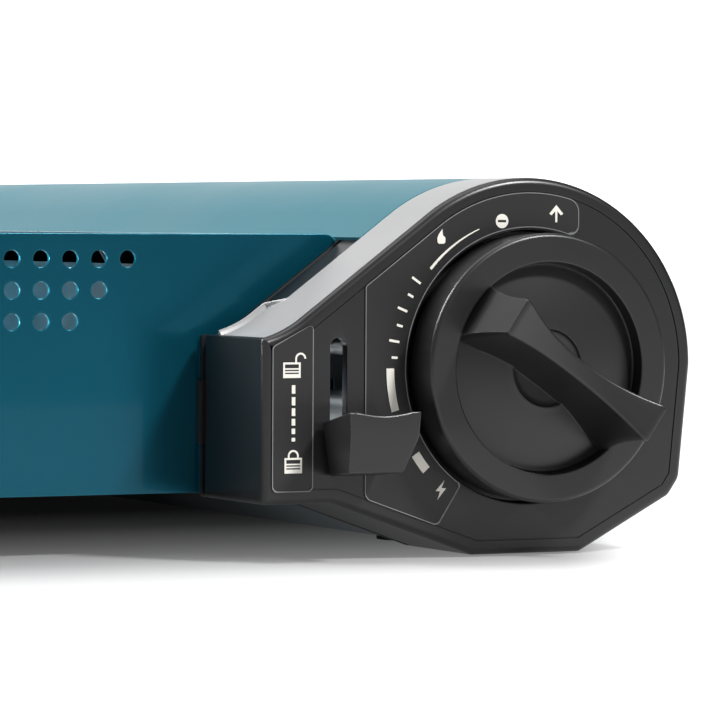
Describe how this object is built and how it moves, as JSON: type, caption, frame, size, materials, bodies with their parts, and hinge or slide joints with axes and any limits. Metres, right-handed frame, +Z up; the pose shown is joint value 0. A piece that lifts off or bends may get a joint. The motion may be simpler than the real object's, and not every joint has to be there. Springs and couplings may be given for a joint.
{
  "type": "portable gas stove",
  "caption": "Portable single-burner cartridge gas stove with control dial, cartridge lock lever, hinged cartridge cover, drip pan and pan support.",
  "frame": {"origin": "on the table under the middle of the object's overall box, in the plane of the feet's undersides", "axes": "+Z up, front with the dial faces -Y, +X towards the cartridge bay"},
  "size_m": [0.345, 0.3296, 0.084],
  "materials": {
    "painted_steel": "gloss enamel, slight orange peel",
    "cover_paint": "satin gloss enamel",
    "galvanised": "zinc plated",
    "rubber_feet": "moulded, matt",
    "seal_rubber": "moulded",
    "screw_steel": "bright zinc",
    "black_plastic": "satin moulded",
    "knob_plastic": "semi gloss moulded",
    "trim_silver": "silver lacquer",
    "label_black": "printed film",
    "icon_print": "screen print",
    "brass": "turned",
    "cam_plastic": "acetal",
    "plunger_red": "moulded",
    "lead_red": "silicone sleeve",
    "electrode_steel": "drawn wire",
    "ceramic": "glazed",
    "die_cast": "die cast",
    "burner_alloy": "die cast",
    "enamel": "vitreous enamel"
  },
  "bodies": {
    "stove_body": {"case_body": "painted_steel", "base_plate": "galvanised", "bay_tray": "painted_steel", "bay_end_plate": "painted_steel", "partition": "galvanised", "bulkhead": "galvanised", "foot_front_left": "rubber_feet", "foot_rear_left": "rubber_feet", "foot_front_right": "rubber_feet", "foot_rear_right": "rubber_feet", "foot_screws": "screw_steel", "control_housing": "black_plastic", "housing_screws": "screw_steel", "silver_trim": "trim_silver", "lock_label": "label_black", "dial_label": "label_black", "lock_icons": "icon_print", "dial_icons": "icon_print", "knob_spring": "screw_steel", "igniter_body": "cam_plastic", "spark_lead": "lead_red", "electrode": "electrode_steel", "electrode_insulator": "ceramic", "electrode_bracket": "galvanised", "regulator_body": "die_cast", "diaphragm": "seal_rubber", "diaphragm_cover": "die_cast", "governor_spring": "screw_steel", "gas_inlet": "brass", "inlet_seal": "seal_rubber", "jet": "brass", "mixing_tube": "galvanised", "burner_body": "burner_alloy", "burner_cap": "brass", "burner_bracket": "galvanised", "heat_plate": "burner_alloy", "hinge_brackets": "galvanised", "hinge_pins": "screw_steel", "lever_pin": "screw_steel", "lever_bracket": "galvanised"},
    "push_washer": {"spring_washer": "screw_steel"},
    "dial": {"dial_knob": "knob_plastic", "valve_spindle": "brass", "ignition_cam": "cam_plastic"},
    "plunger": {"igniter_plunger": "plunger_red"},
    "lever": {"lock_lever": "knob_plastic", "lever_arm": "galvanised"},
    "carriage": {"carriage": "galvanised", "carriage_saddles": "black_plastic"},
    "cover": {"cartridge_cover": "cover_paint"},
    "pan": {"drip_pan": "enamel"},
    "support": {"pan_support": "enamel"}
  },
  "joints": [
    {"name": "knob_push", "type": "slide", "parent": "stove_body", "child": "push_washer", "axis": [0, 1, 0], "range_m": [0, 0.003], "stiffness_N_per_m": 900, "springref_m": -0.002, "deforming": ["knob_spring"]},
    {"name": "knob_turn", "type": "hinge", "parent": "push_washer", "child": "dial", "pos_m": [0.1325, -0.1392, 0.04], "axis": [0, -1, 0], "range_deg": [-45, 82]},
    {"name": "plunger_slide", "type": "slide", "parent": "stove_body", "child": "plunger", "axis": [0, 0, -1], "range_m": [-0.0012, 0.0022]},
    {"name": "lever_lock", "type": "hinge", "parent": "stove_body", "child": "lever", "pos_m": [0.0875, -0.0892, 0.04], "axis": [-1, 0, 0], "range_deg": [0, 19]},
    {"name": "carriage_slide", "type": "slide", "parent": "stove_body", "child": "carriage", "axis": [0, 1, 0], "range_m": [0, 0.0057]},
    {"name": "cover_hinge", "type": "hinge", "parent": "stove_body", "child": "cover", "pos_m": [0.09996, 0, 0.0651], "axis": [0, -1, 0], "range_deg": [0, 95]},
    {"name": "pan_lift", "type": "slide", "parent": "stove_body", "child": "pan", "axis": [0, 0, 1], "range_m": [0, 0.06]},
    {"name": "support_lift", "type": "slide", "parent": "pan", "child": "support", "axis": [0, 0, 1], "range_m": [0, 0.05]}
  ],
  "couplings": [
    {"joint": "plunger_slide", "follows": "knob_turn", "m_per_rad": 0.0014897},
    {"joint": "carriage_slide", "follows": "lever_lock", "m_per_rad": 0.017}
  ]
}
